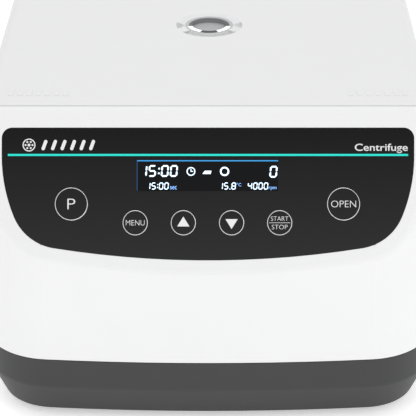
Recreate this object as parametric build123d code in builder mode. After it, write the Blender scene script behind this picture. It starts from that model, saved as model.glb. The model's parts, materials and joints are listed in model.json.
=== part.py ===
"""Laboratory centrifuge: a benchtop machine with a hinged lid, a sloped control panel and a swing-out rotor.

Frame: +Z up, front towards -Y, origin on the table under the middle of the outline. Millimetres.
"""

import os
from math import atan, atan2, cos, degrees, radians, sin, sqrt, tan

from build123d import *

os.makedirs("parts", exist_ok=True)

# ---- Driving dimensions: the casing ----
WIDTH = 364.0
DEPTH = 446.0
TOP_Z = 254.0
FOOT_H = 7.3
BASE_CREASE_Z = 35.5
BASE_CREASE_R = 6.5
BASE_TOP_Z = 60.4
BASE_INSET = 12.5  # how far the base draws in from its crease to its floor
SEAM = 0.6  # gap between the base and the casing above it
WALL = 3.0
DRAFT = 1.2  # degrees, all round the casing
FRONT_BOW_R = 1500.0
FRONT_CORNER_R = 57.0
REAR_CORNER_R = 26.0
FRONT_Y = -DEPTH / 2
BACK_Y = DEPTH / 2

# ---- The sloped front ----
SLOPE = 29.0  # degrees from upright
SLOPE_TOP_Y = -158.5
RIDGE_FLAT = 2.5
SLOPE_EDGE_R = 9.0

# ---- The lid and its hinge ----
LID_GAP = 2.0  # at the front, between the ridge and the lid
LID_BOTTOM_Z = 238.0
RIM_GAP = 1.0
DECK_Z = 230.0
LID_SIDE_R = 10.0
HINGE_Y = 197.0
HINGE_Z = LID_BOTTOM_Z
BARREL_R = 16.0
TROUGH_R = 17.0
BARREL_HALF = 148.0
SHOULDER_X = 149.5
LID_REAR_R = 22.0
SHOULDER_R = 21.0
KNUCKLE_X = 100.0
KNUCKLE_W = 26.0
KNUCKLE_GAP = 1.0
HINGE_PIN_R = 5.0
HINGE_PIN_L = 72.0
RUNNING = 0.05  # radial clearance of a turning fit

# ---- The chamber, the rotor and its buckets ----
ROTOR_Y = 20.0
BOWL_R = 143.0
BOWL_T = 1.5
BOWL_FLOOR_Z = 106.0
BOWL_FLANGE_R = 155.0
DECK_HOLE_R = 148.0
GUARD_R = 149.0
GUARD_T = 2.5
TRUNNION_R = 54.0  # from the rotor's axis
TRUNNION_Z = 205.0
BUCKET_R = 19.0
BUCKET_BORE_R = 15.5
BUCKET_RIM = 12.0  # above the trunnions
BUCKET_DROP = 77.0  # below them
BUCKET_BORE_L = 85.0
PIN_R = 3.0
SHAFT_R = 6.0
BUCKETS = 4

# ---- The control panel, on the slope: u across, v down the slope from its top edge ----
PANEL_TOP_V = 16.2
PANEL_HALF = 160.0
PANEL_WIDEST_V = 37.3
PANEL_SIDE_R = 125.0
PANEL_CORNER_X = 139.2
PANEL_CORNER_R = 40.0
PANEL_BOW_R = 765.0
PANEL_T = 1.5
PANEL_GAP = 0.25
KEY_GAP = 0.15
KEYS = {  # name: (u, v, radius)
    "program": (-106.0, 75.4, 12.8),
    "menu": (-56.4, 90.0, 9.75),
    "up": (-19.1, 90.0, 9.75),
    "down": (18.3, 90.0, 9.75),
    "start_stop": (55.6, 90.0, 9.75),
    "open": (105.2, 75.4, 12.8),
}
DISPLAY = (-55.2, 41.4, 54.4, 65.4)  # left, top, right, bottom
PCB_DEPTH = 9.0

# ---- Worked out ----
SLOPE_SIN, SLOPE_COS = sin(radians(SLOPE)), cos(radians(SLOPE))
RIDGE_BACK_Y = SLOPE_TOP_Y + RIDGE_FLAT
LID_FRONT_Y = RIDGE_BACK_Y + LID_GAP
FAR = 600.0
slope = Plane(origin=(0, SLOPE_TOP_Y, TOP_Z), x_dir=(1, 0, 0), z_dir=(0, -SLOPE_COS, SLOPE_SIN))
slope_axis = Axis(slope.origin, slope.z_dir)


def save(part, name):
    """Labels a finished piece and writes it as its own node."""
    part.label = name
    export_step(part, f"parts/{name}.step")


def plan(inset):
    """The casing's outline at the top of the base, drawn in by inset: bowed front, rounded corners."""
    half, front, back, bow = (
        WIDTH / 2 - inset,
        FRONT_Y + inset,
        BACK_Y - inset,
        FRONT_BOW_R - inset,
    )
    corner_y = front + bow - sqrt(bow**2 - half**2)
    with BuildSketch() as outline:
        with BuildLine():
            ThreePointArc((-half, corner_y), (0, front), (half, corner_y))
            Polyline((half, corner_y), (half, back), (-half, back), (-half, corner_y))
        make_face()
        fillet(outline.vertices().group_by(Axis.Y)[0], FRONT_CORNER_R - inset)
        fillet(outline.vertices().group_by(Axis.Y)[-1], max(REAR_CORNER_R - inset, 4.0))
    return outline.sketch


def column(low, high, inset):
    """The drafted casing shape from one height to another, drawn in by inset."""
    outline = plan(inset + (low - BASE_TOP_Z) * tan(radians(DRAFT)))
    with BuildPart() as body:
        with BuildSketch(Plane.XY.offset(low)):
            add(outline)
        extrude(amount=high - low, taper=DRAFT)
    return body.part


def block(x, y, z, mode=Mode.ADD):
    """In the part being built: a box given by its lowest and highest corner along each axis."""
    with Locations(((x[0] + x[1]) / 2, (y[0] + y[1]) / 2, (z[0] + z[1]) / 2)):
        Box(x[1] - x[0], y[1] - y[0], z[1] - z[0], mode=mode)


def post(x, y, radius, low, high, mode=Mode.ADD):
    """In the part being built: an upright cylinder between two heights."""
    with Locations((x, y, (low + high) / 2)):
        Cylinder(radius, high - low, mode=mode)


def rod_x(radius, low, high, y, z, mode=Mode.ADD):
    """In the part being built: a cylinder along X between two places."""
    with Locations(Location(((low + high) / 2, y, z), (0, 90, 0))):
        Cylinder(radius, high - low, mode=mode)


def rod_y(radius, low, high, x, z, mode=Mode.ADD):
    """In the part being built: a cylinder along Y between two places."""
    with Locations(Location((x, (low + high) / 2, z), (90, 0, 0))):
        Cylinder(radius, high - low, mode=mode)


def hinge_rod(radius, half, x=0.0, mode=Mode.ADD):
    """In the part being built: a cylinder along the lid's hinge axis."""
    rod_x(radius, x - half, x + half, HINGE_Y, HINGE_Z, mode)


def on_slope(u, v, depth=0.0):
    """A place on the sloped front: u across, v down the slope, depth above (or below) its surface."""
    return slope.location * Location((u, -v, depth))


def pan_screw(head_r, head_h, shank_r, shank_l):
    """A pan-head screw with a cross recess, its head's seat at the origin and its shank downwards."""
    with BuildPart() as screw:
        with Locations((0, 0, head_h / 2)):
            Cylinder(head_r, head_h)
        fillet(screw.edges().sort_by(Axis.Z)[-1], head_h * 0.4)
        with Locations((0, 0, -shank_l / 2)):
            Cylinder(shank_r, shank_l)
        with Locations((0, 0, head_h)):
            Box(head_r * 1.1, 0.8, head_h, mode=Mode.SUBTRACT)
            Box(0.8, head_r * 1.1, head_h, mode=Mode.SUBTRACT)
    return screw.part


FACE_DOWN = (180, 0, 0)

# ---- Base: a moulded tray that the machine stands on ----
TAPER = degrees(atan(BASE_INSET / (BASE_CREASE_Z - FOOT_H)))
FLOOR_Z = FOOT_H + WALL
CHASSIS_Z = 22.0
CHASSIS_T = 2.0
CHASSIS_TOP = CHASSIS_Z + CHASSIS_T
BOSSES = [(x, y) for x in (-128.0, 128.0) for y in (-130.0, 10.0, 150.0)]
FEET = [(x, y) for x in (-132.0, 132.0) for y in (-161.0, 183.0)]
LUGS = [(x, y) for x in (-156.0, 156.0) for y in (-110.0, 30.0, 140.0)]
LUG_SEAT_Z = 20.0


def tray_shape(inset, floor):
    """The base's outer shape, or its cavity when inset and floor are raised."""
    outline = plan(inset)
    with BuildPart() as shape:
        with BuildSketch(Plane.XY.offset(BASE_CREASE_Z)):
            add(outline)
        extrude(amount=BASE_TOP_Z - BASE_CREASE_Z)
        with BuildSketch(Plane.XY.offset(BASE_CREASE_Z)):
            add(outline)
        extrude(amount=-(BASE_CREASE_Z - floor), taper=TAPER)
    return shape.part


tray_outer = tray_shape(0.0, FOOT_H)
tray_cavity = tray_shape(WALL, FLOOR_Z)
with BuildPart() as base_tray:
    add(tray_outer)
    crease = base_tray.edges().filter_by_position(Axis.Z, BASE_CREASE_Z - 0.1, BASE_CREASE_Z + 0.1)
    fillet(crease, BASE_CREASE_R)
    fillet(base_tray.faces().sort_by(Axis.Z)[0].edges(), 2.5)
    add(tray_cavity, mode=Mode.SUBTRACT)
    with BuildSketch(Plane.XY.offset(FLOOR_Z - 0.5)):
        with Locations(*BOSSES):
            Circle(7.0)
    extrude(amount=CHASSIS_Z - FLOOR_Z + 0.5)
    with BuildSketch(Plane.XY.offset(CHASSIS_Z)):
        with Locations(*BOSSES):
            Circle(1.5)
    extrude(amount=-9.0, mode=Mode.SUBTRACT)
    # columns that the casing is screwed down to
    with BuildSketch(Plane.XY.offset(FLOOR_Z - 0.5)):
        with Locations(*LUGS):
            Circle(6.5)
    extrude(amount=BASE_TOP_Z + SEAM - FLOOR_Z + 0.5)
    with BuildSketch(Plane.XY.offset(FOOT_H - 1)):
        with Locations(*LUGS):
            Circle(4.6)
    extrude(amount=LUG_SEAT_Z - FOOT_H + 1, mode=Mode.SUBTRACT)
    with BuildSketch(Plane.XY.offset(FOOT_H)):
        with Locations(*LUGS):
            Circle(2.2)
    extrude(amount=60.0, mode=Mode.SUBTRACT)
    # cooling slots under the motor, and holes for the feet
    with BuildSketch(Plane.XY.offset(FOOT_H - 1)):
        with Locations((0, ROTOR_Y)):
            with GridLocations(0, 9.0, 1, 9):
                SlotOverall(90.0, 4.0)
        with Locations(*FEET):
            Circle(4.0)
    extrude(amount=WALL + 2, mode=Mode.SUBTRACT)
save(base_tray.part, "base_tray")

# ---- Feet: rubber, each with a spigot through the floor ----
with BuildPart() as rubber_feet:
    with BuildSketch():
        with Locations(*FEET):
            Circle(14.0)
    extrude(amount=FOOT_H)
    fillet(rubber_feet.edges().group_by(Axis.Z)[0], 2.0)
    with BuildSketch(Plane.XY.offset(FOOT_H)):
        with Locations(*FEET):
            Circle(4.0)
    extrude(amount=WALL)
    with BuildSketch(Plane.XY.offset(FLOOR_Z)):
        with Locations(*FEET):
            Circle(6.0)
    extrude(amount=2.0)
save(rubber_feet.part, "rubber_feet")

casing_screw = pan_screw(4.2, 2.6, 2.2, 52.0)
with BuildPart() as casing_screws:
    with Locations(*[Location((x, y, LUG_SEAT_Z), FACE_DOWN) for x, y in LUGS]):
        add(casing_screw)
save(casing_screws.part, "casing_screws")

# ---- Upper casing: one moulding with the sloped front, the deck and the hinge trough ----
STRIKER_Y = -146.0
SLOT_HALF_X, SLOT_HALF_Y = 5.5, 9.3
PLUNGER_X = 34.0
REAR_FLAT_Y = BACK_Y - 4.8
ELECTRIC_Z = 98.0
INLET_X, SWITCH_X, FUSE_X = 118.0, 74.0, 46.0
FAN_X, FAN_Z, FAN_SIZE = -84.0, 108.0, 80.0
PIT_REAR_Y = HINGE_Y - SHOULDER_R
KEY_WINDOW = (248.0, 66.0, 72.0)  # width, height, middle down the slope
BOARD_W, BOARD_H = 268.0, 76.0
rear_plane = Plane(origin=(0, BACK_Y + 10, 0), x_dir=(-1, 0, 0), z_dir=(0, 1, 0))


def panel_outline(grow=0.0):
    """The control panel's outline on the slope: straight top, bellied sides, bowed bottom."""
    half, top = PANEL_HALF + grow, PANEL_TOP_V - grow
    side_r, bottom_r = PANEL_SIDE_R + grow, PANEL_BOW_R + grow
    corner_x = PANEL_CORNER_X + grow
    side_drop = sqrt(side_r**2 - (side_r - half + corner_x) ** 2)
    mid_v = PANEL_WIDEST_V + side_drop / 2
    mid_x = half - side_r + sqrt(side_r**2 - (side_drop / 2) ** 2)
    corner_v = PANEL_WIDEST_V + side_drop
    bottom = corner_v + bottom_r - sqrt(bottom_r**2 - corner_x**2)
    widest = PANEL_WIDEST_V
    with BuildSketch() as outline:
        with BuildLine():
            Polyline((-half, -widest), (-half, -top), (half, -top), (half, -widest))
            ThreePointArc((half, -widest), (mid_x, -mid_v), (corner_x, -corner_v))
            ThreePointArc((corner_x, -corner_v), (0, -bottom), (-corner_x, -corner_v))
            ThreePointArc((-corner_x, -corner_v), (-mid_x, -mid_v), (-half, -widest))
        make_face()
        fillet(outline.vertices().group_by(Axis.Y)[-1], 8.0 + grow)
        fillet(outline.vertices().group_by(Axis.Y)[0], PANEL_CORNER_R + grow)
    return outline.sketch


outer_column = column(BASE_TOP_Z + SEAM, TOP_Z, 0.0)
with BuildPart() as casing_outer:
    add(outer_column)
    fillet(casing_outer.faces().sort_by(Axis.Z)[-1].edges(), LID_SIDE_R)
    split(bisect_by=slope, keep=Keep.BOTTOM)
    slope_face = casing_outer.faces().filter_by(lambda f: f.normal_at().dot(slope.z_dir) > 0.999)[0]
    low_edges = [e for e in slope_face.edges() if e.center().Z < TOP_Z - 12 and e.length > 5]
    fillet(low_edges, SLOPE_EDGE_R)
outer = casing_outer.part
inner_column = column(BASE_TOP_Z - 1, DECK_Z - WALL, WALL)
with BuildPart() as hollow:
    add(inner_column)
    split(bisect_by=slope.offset(-WALL), keep=Keep.BOTTOM)

with BuildPart() as shoulders:
    block((-FAR, FAR), (HINGE_Y, FAR), (0, FAR))
    hinge_rod(SHOULDER_R, FAR)
    block((-SHOULDER_X, SHOULDER_X), (0, FAR), (0, FAR), Mode.SUBTRACT)
with BuildPart() as lid_bay:
    block((-FAR, FAR), (RIDGE_BACK_Y, FAR), (LID_BOTTOM_Z - RIM_GAP, FAR))
    add(shoulders.part, mode=Mode.SUBTRACT)
pit_column = column(DECK_Z, TOP_Z, WALL)
with BuildPart() as deck_pit:
    add(pit_column)
    block((-FAR, FAR), (RIDGE_BACK_Y, PIT_REAR_Y), (0, FAR), Mode.INTERSECT)
wall_column = column(BASE_TOP_Z, LID_BOTTOM_Z - RIM_GAP, 0.5)
with BuildPart() as trough_wall:
    hinge_rod(TROUGH_R + WALL, SHOULDER_X + WALL)
    add(wall_column, mode=Mode.INTERSECT)
with BuildPart() as electric_pad:
    add(outer_column)
    block((24, 152), (BACK_Y - 8.5, FAR), (ELECTRIC_Z - 28, ELECTRIC_Z + 28), Mode.INTERSECT)
with BuildPart() as lug_blocks:
    for x, y in LUGS:
        block((min(x, 4 * x / 3), max(x, 4 * x / 3)), (y - 7, y + 7), (61.0, 73.0))
        post(x, y, 7.0, 61.0, 73.0)
    add(outer_column, mode=Mode.INTERSECT)

with BuildPart() as upper_casing:
    add(outer)
    add(hollow.part, mode=Mode.SUBTRACT)
    add(lid_bay.part, mode=Mode.SUBTRACT)
    add(deck_pit.part, mode=Mode.SUBTRACT)
    add(trough_wall.part)
    hinge_rod(TROUGH_R, SHOULDER_X, mode=Mode.SUBTRACT)
    for x in (-KNUCKLE_X, KNUCKLE_X):
        hinge_rod(12.0, KNUCKLE_W / 2, x)
        block((x - KNUCKLE_W / 2, x + KNUCKLE_W / 2), (HINGE_Y - 10, HINGE_Y + 10), (HINGE_Z - 18.5, HINGE_Z))
    hinge_rod(HINGE_PIN_R, KNUCKLE_X + HINGE_PIN_L / 2, mode=Mode.SUBTRACT)
    # through the deck: the chamber's mouth, the striker's slot and the lid switch's plunger
    post(0, ROTOR_Y, DECK_HOLE_R, DECK_Z - 8, DECK_Z + 5, Mode.SUBTRACT)
    slot_y = (STRIKER_Y - SLOT_HALF_Y, STRIKER_Y + SLOT_HALF_Y)
    block((-SLOT_HALF_X, SLOT_HALF_X), slot_y, (DECK_Z - 8, DECK_Z + 5), Mode.SUBTRACT)
    post(PLUNGER_X, STRIKER_Y, 2.8, DECK_Z - 8, DECK_Z + 5, Mode.SUBTRACT)
    add(electric_pad.part)
    block((28, 148), (REAR_FLAT_Y, FAR), (ELECTRIC_Z - 24, ELECTRIC_Z + 24), Mode.SUBTRACT)
    add(lug_blocks.part)
    with BuildSketch(Plane.XY.offset(BASE_TOP_Z)):
        with Locations(*LUGS):
            Circle(2.2)
    extrude(amount=12.5, mode=Mode.SUBTRACT)
    # seat for the control panel, and the window its keys and display work through
    seat = panel_outline(PANEL_GAP)
    with BuildSketch(slope):
        add(seat)
    extrude(amount=-PANEL_T, mode=Mode.SUBTRACT)
    with BuildSketch(slope):
        with Locations((0, -KEY_WINDOW[2])):
            RectangleRounded(KEY_WINDOW[0], KEY_WINDOW[1], 8.0)
            with GridLocations(BOARD_W - 10, BOARD_H - 8, 2, 2):
                Circle(1.5)
    extrude(amount=-WALL - 2, mode=Mode.SUBTRACT)
    # rear openings: two vent fields high up, a fan outlet, and the mains fittings
    with BuildSketch(rear_plane):
        for x in (-84.0, 84.0):
            with Locations((x, 188.0)):
                with GridLocations(0, 8.0, 1, 5):
                    SlotOverall(90.0, 3.6)
        with Locations((-FAN_X, FAN_Z)):
            with GridLocations(0, 8.0, 1, 8):
                SlotOverall(66.0, 3.6)
        with Locations((-INLET_X, ELECTRIC_Z)):
            Rectangle(28.4, 21.4)
        with Locations((-INLET_X - 20, ELECTRIC_Z), (-INLET_X + 20, ELECTRIC_Z)):
            Circle(1.5)
        with Locations((-SWITCH_X, ELECTRIC_Z)):
            Rectangle(19.4, 27.4)
        with Locations((-FUSE_X, ELECTRIC_Z)):
            Circle(6.6)
    extrude(amount=-24.0, mode=Mode.SUBTRACT)
save(upper_casing.part, "upper_casing")

# ---- Chassis plate, motor pillars, rubber mounts and motor ----
PILLAR_TOP, MOUNT_TOP = 58.0, 78.0
MOTOR_PLATE_T = 4.0
MOTOR_R = 46.0
MOTOR_FLOOR_Z = 32.0
MOTOR_BOSS_R, MOTOR_BOSS_TOP = 18.0, 96.0
PILLAR_PLACES = [
    (70.0 * cos(radians(a)), ROTOR_Y + 70.0 * sin(radians(a))) for a in (90, 210, 330)
]
GUARD_POSTS = [
    (150.25 * cos(radians(a)), ROTOR_Y + 150.25 * sin(radians(a))) for a in (62, 118, 242, 298)
]
GUARD_LOW_Z = 98.0

with BuildPart() as chassis_plate:
    with BuildSketch(Plane.XY.offset(CHASSIS_Z)) as sheet:
        with Locations((0, 10.0)):
            RectangleRounded(280.0, 344.0, 12.0)
        with Locations(*BOSSES):
            Circle(1.7, mode=Mode.SUBTRACT)
        with Locations((0, ROTOR_Y)):
            Circle(38.0, mode=Mode.SUBTRACT)
        with Locations((0, 140.0), (0, -110.0)):
            with GridLocations(0, 10.0, 1, 4):
                SlotOverall(120.0, 5.0, mode=Mode.SUBTRACT)
    extrude(amount=CHASSIS_T)
save(chassis_plate.part, "chassis_plate")
BOARD_Z = 34.0
BOARD_POSTS = [(x, y) for x in (-133.0, -83.0) for y in (-108.0, 110.0)]
screw_places = [Location((x, y, CHASSIS_TOP)) for x, y in BOSSES]
screw_places += [Location((x, y, BOARD_Z + 1.6)) for x, y in BOARD_POSTS]

with BuildPart() as motor_pillars:
    with BuildSketch(Plane.XY.offset(CHASSIS_TOP)):
        with Locations(*PILLAR_PLACES):
            RegularPolygon(8.0, 6)
    extrude(amount=PILLAR_TOP - CHASSIS_TOP)
save(motor_pillars.part, "motor_pillars")

with BuildPart() as rubber_mount:
    with BuildSketch(Plane.XZ):
        with BuildLine():
            Polyline(
                (0, PILLAR_TOP),
                (12, PILLAR_TOP),
                (12, 62),
                (8.5, 66),
                (8.5, 70),
                (12, 74),
                (12, MOUNT_TOP),
                (0, MOUNT_TOP),
                close=True,
            )
        make_face()
    revolve(axis=Axis.Z)
with BuildPart() as motor_mounts:
    with Locations(*PILLAR_PLACES):
        add(rubber_mount.part)
save(motor_mounts.part, "motor_mounts")

with BuildPart() as motor_plate:
    with BuildSketch(Plane.XY.offset(MOUNT_TOP)):
        with Locations((0, ROTOR_Y)):
            Circle(56.0)
        with Locations(*PILLAR_PLACES):
            Circle(17.0)
        with Locations((0, ROTOR_Y)):
            Circle(MOTOR_BOSS_R, mode=Mode.SUBTRACT)
            with PolarLocations(38.0, 4, start_angle=45):
                Circle(1.7, mode=Mode.SUBTRACT)
    extrude(amount=MOTOR_PLATE_T)
save(motor_plate.part, "motor_plate")

with BuildPart() as motor:
    with BuildSketch(Plane.XY.offset(MOTOR_FLOOR_Z)):
        with Locations((0, ROTOR_Y)):
            Circle(MOTOR_R)
    extrude(amount=MOUNT_TOP - MOTOR_FLOOR_Z)
    chamfer(motor.edges().group_by(Axis.Z)[0], 3.0)
    with BuildSketch(Plane.XY.offset(MOTOR_FLOOR_Z + 10)):
        with Locations((0, ROTOR_Y)):
            with PolarLocations(MOTOR_R, 24):
                Rectangle(5.0, 4.0)
    extrude(amount=24.0, mode=Mode.SUBTRACT)
    with BuildSketch(Plane.XY.offset(MOUNT_TOP)):
        with Locations((0, ROTOR_Y)):
            Circle(MOTOR_BOSS_R)
    extrude(amount=MOTOR_BOSS_TOP - MOUNT_TOP)
    with BuildSketch(Plane.XY.offset(MOUNT_TOP)):
        with Locations((0, ROTOR_Y)):
            with PolarLocations(38.0, 4, start_angle=45):
                Circle(1.5)
    extrude(amount=-14.0, mode=Mode.SUBTRACT)
    post(0, ROTOR_Y, SHAFT_R + RUNNING, 50.0, 120.0, Mode.SUBTRACT)
save(motor.part, "motor_body")
screw_places += [
    Location((38.0 * cos(radians(a)), ROTOR_Y + 38.0 * sin(radians(a)), MOUNT_TOP + MOTOR_PLATE_T))
    for a in (45, 135, 225, 315)
]

# ---- Chamber: bowl wall and floor, boot, seal and guard ring ----
BOWL_LOW_Z = BOWL_FLOOR_Z - BOWL_T
BOOT_R = 16.0
with BuildPart() as bowl_wall:
    with BuildSketch(Plane.XZ.offset(-ROTOR_Y)):
        with BuildLine():
            Polyline(
                (BOWL_R, BOWL_LOW_Z),
                (BOWL_R + BOWL_T, BOWL_LOW_Z),
                (BOWL_R + BOWL_T, DECK_Z),
                (BOWL_FLANGE_R, DECK_Z),
                (BOWL_FLANGE_R, DECK_Z + BOWL_T),
                (BOWL_R, DECK_Z + BOWL_T),
                close=True,
            )
        make_face()
    revolve(axis=Axis((0, ROTOR_Y, 0), (0, 0, 1)))
    mouth = bowl_wall.edges().group_by(Axis.Z)[-1].sort_by(SortBy.RADIUS)[0]
    fillet(mouth, 1.2)
save(bowl_wall.part, "bowl_wall")
with BuildPart() as bowl_floor:
    with BuildSketch(Plane.XY.offset(BOWL_LOW_Z)):
        with Locations((0, ROTOR_Y)):
            Circle(BOWL_R)
            Circle(BOOT_R, mode=Mode.SUBTRACT)
    extrude(amount=BOWL_T)
save(bowl_floor.part, "bowl_floor")

with BuildPart() as shaft_boot:
    post(0, ROTOR_Y, 18.0, MOTOR_BOSS_TOP, BOWL_LOW_Z)
    post(0, ROTOR_Y, BOOT_R, BOWL_LOW_Z, BOWL_FLOOR_Z)
    post(0, ROTOR_Y, 21.0, BOWL_FLOOR_Z, BOWL_FLOOR_Z + 2.0)
    post(0, ROTOR_Y, 8.0, MOTOR_BOSS_TOP - 1, BOWL_FLOOR_Z + 3, Mode.SUBTRACT)
save(shaft_boot.part, "shaft_boot")
with BuildPart() as bowl_seal:
    post(0, ROTOR_Y, 153.0, DECK_Z + BOWL_T, LID_BOTTOM_Z - 0.5)
    post(0, ROTOR_Y, 146.0, DECK_Z, LID_BOTTOM_Z, Mode.SUBTRACT)
    fillet(bowl_seal.edges().group_by(Axis.Z)[-1], 2.4)
save(bowl_seal.part, "bowl_seal")

# the guard is a rolled band on four welded legs
with BuildPart() as guard_ring:
    post(0, ROTOR_Y, GUARD_R + GUARD_T, GUARD_LOW_Z, DECK_Z - WALL)
    post(0, ROTOR_Y, GUARD_R, GUARD_LOW_Z - 1, DECK_Z, Mode.SUBTRACT)
    for x, y in GUARD_POSTS:
        post(x, y, 4.0, CHASSIS_TOP, GUARD_LOW_Z)
        post(x, y, 7.0, CHASSIS_TOP, CHASSIS_TOP + 3)
save(guard_ring.part, "guard_ring")

# ---- Drive: shaft, swing-out rotor head, trunnion pins, nut ----
HEAD_LOW, HEAD_HIGH = 195.0, 215.0
HEAD_R = 74.0
SWING_R = sqrt(BUCKET_R**2 + BUCKET_RIM**2)
SLOT_IN = TRUNNION_R - SWING_R - 1.0
SLOT_OUT = 120.0
SLOT_W = 2 * (BUCKET_R + 2.0)
PIN_TIP = BUCKET_R - 1.2  # how near the bucket's axis each trunnion pin reaches
PIN_L = 12.0

with BuildPart() as drive_shaft:
    post(0, ROTOR_Y, SHAFT_R, 62.0, HEAD_HIGH)
    post(0, ROTOR_Y, 4.0, HEAD_HIGH, 226.0)
    chamfer(drive_shaft.edges().group_by(Axis.Z)[-1], 0.8)
save(drive_shaft.part, "drive_shaft")

with BuildPart() as trunnion_pins:
    with Locations((0, ROTOR_Y, TRUNNION_Z)):
        with PolarLocations(TRUNNION_R, BUCKETS):
            with Locations(*[Location((0, side * (PIN_TIP + PIN_L / 2), 0), (90, 0, 0)) for side in (-1, 1)]):
                Cylinder(PIN_R, PIN_L)
save(trunnion_pins.part, "trunnion_pins")

with BuildPart() as rotor_head:
    with BuildSketch(Plane.XY.offset(HEAD_LOW)):
        with Locations((0, ROTOR_Y)):
            Circle(HEAD_R)
    extrude(amount=HEAD_HIGH - HEAD_LOW)
    with Locations((0, ROTOR_Y, (HEAD_LOW + HEAD_HIGH) / 2)):
        with PolarLocations((SLOT_IN + SLOT_OUT) / 2, BUCKETS):
            Box(SLOT_OUT - SLOT_IN, SLOT_W, 100.0, mode=Mode.SUBTRACT)
    fillet(rotor_head.edges().filter_by(Axis.Z), 4.0)
    chamfer(rotor_head.faces().sort_by(Axis.Z)[-1].edges(), 1.2)
    with BuildSketch(Plane.XY.offset(HEAD_LOW)):
        with Locations((0, ROTOR_Y)):
            Circle(21.0)
    extrude(amount=-34.0, taper=8.0)
    add(trunnion_pins.part, mode=Mode.SUBTRACT)
    post(0, ROTOR_Y, SHAFT_R, 100.0, 240.0, Mode.SUBTRACT)
save(rotor_head.part, "rotor_head")

with BuildPart() as rotor_nut:
    with BuildSketch(Plane.XY.offset(HEAD_HIGH)):
        with Locations((0, ROTOR_Y)):
            Circle(15.0)
    extrude(amount=6.0)
    with BuildSketch(Plane.XY.offset(HEAD_HIGH + 6.0)):
        with Locations((0, ROTOR_Y)):
            RegularPolygon(9.0, 6)
    extrude(amount=7.0)
    chamfer(rotor_nut.edges().group_by(Axis.Z)[-1], 0.8)
    with BuildSketch(Plane.XY.offset(HEAD_HIGH)):
        with Locations((0, ROTOR_Y)):
            Circle(4.0)
    extrude(amount=11.0, mode=Mode.SUBTRACT)
save(rotor_nut.part, "rotor_nut")

# ---- Buckets, each hung on two trunnion pins ----
COLLAR_LOW = -9.0
BODY_R = 17.3
GROOVE_R = PIN_R + RUNNING
with BuildPart() as bucket:
    with BuildSketch(Plane.XZ):
        with BuildLine():
            Polyline(
                (0, -BUCKET_DROP),
                (BODY_R, -BUCKET_DROP),
                (BODY_R, COLLAR_LOW - 3),
                (BUCKET_R, COLLAR_LOW),
                (BUCKET_R, BUCKET_RIM),
                (BUCKET_BORE_R, BUCKET_RIM),
                (BUCKET_BORE_R, BUCKET_RIM - BUCKET_BORE_L),
                (0, BUCKET_RIM - BUCKET_BORE_L),
                close=True,
            )
        make_face()
    revolve(axis=Axis.Z)
    fillet(bucket.edges().group_by(Axis.Z)[0], 5.0)
    fillet(bucket.edges().group_by(Axis.Z)[-1], 0.8)
    # hooks: each groove is open downwards, so a bucket lifts off its two pins
    for low in (-PIN_TIP - 5.9, PIN_TIP - 0.1):
        rod_y(GROOVE_R, low, low + 6.0, 0, 0, Mode.SUBTRACT)
        block((-GROOVE_R, GROOVE_R), (low, low + 6.0), (-20.0, 0), Mode.SUBTRACT)
with BuildPart() as all_buckets:
    with Locations((0, ROTOR_Y, TRUNNION_Z)):
        with PolarLocations(TRUNNION_R, BUCKETS):
            add(bucket.part)
for placed in all_buckets.solids():
    around = Vector(placed.center().X, placed.center().Y - ROTOR_Y)
    quarter = round(degrees(atan2(around.Y, around.X)) / 90) % BUCKETS
    save(placed, f"bucket_{quarter + 1}")

# ---- Control panel: overlay, rings, keys, display, keypad board ----
RING_W = 0.6
RING_PROUD = 0.4
KEY_PROUD = 0.15
DISPLAY_W, DISPLAY_H = DISPLAY[2] - DISPLAY[0], DISPLAY[3] - DISPLAY[1]
DISPLAY_U, DISPLAY_V = (DISPLAY[0] + DISPLAY[2]) / 2, (DISPLAY[1] + DISPLAY[3]) / 2
BOARD_V = KEY_WINDOW[2]

overlay_outline = panel_outline()
with BuildPart() as control_panel:
    with BuildSketch(slope.offset(-PANEL_T)) as overlay:
        add(overlay_outline)
        for u, v, radius in KEYS.values():
            with Locations((u, -v)):
                Circle(radius, mode=Mode.SUBTRACT)
        with Locations((DISPLAY_U, -DISPLAY_V)):
            Rectangle(DISPLAY_W, DISPLAY_H, mode=Mode.SUBTRACT)
    extrude(amount=PANEL_T)
save(control_panel.part, "control_panel")

with BuildPart() as key_rings:
    for u, v, radius in KEYS.values():
        with BuildSketch(slope.offset(-PANEL_T)):
            with Locations((u, -v)):
                Circle(radius)
        extrude(amount=PANEL_T + RING_PROUD)
    fillet(key_rings.edges().group_by(slope_axis)[-1], RING_W * 0.45)
    for u, v, radius in KEYS.values():
        with BuildSketch(slope.offset(-PANEL_T)):
            with Locations((u, -v)):
                Circle(radius - RING_W)
        extrude(amount=PANEL_T + RING_PROUD, mode=Mode.SUBTRACT)
save(key_rings.part, "key_rings")

for name, (u, v, radius) in KEYS.items():
    cap_r = radius - RING_W - KEY_GAP
    with BuildPart() as key:
        with Locations((0, 0, (KEY_PROUD - PANEL_T) / 2)):
            Cylinder(cap_r, PANEL_T + KEY_PROUD)
        fillet(key.edges().group_by(Axis.Z)[-1], 0.4)
        with Locations((0, 0, -PANEL_T - 0.75)):
            Cylinder(cap_r + 1.0, 1.1)
            Cylinder(cap_r, 1.5)
        with Locations((0, 0, -PANEL_T - 2.9)):
            Cylinder(3.0, 4.0)
    save(key.part.moved(on_slope(u, v)), f"key_{name}")

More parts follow.
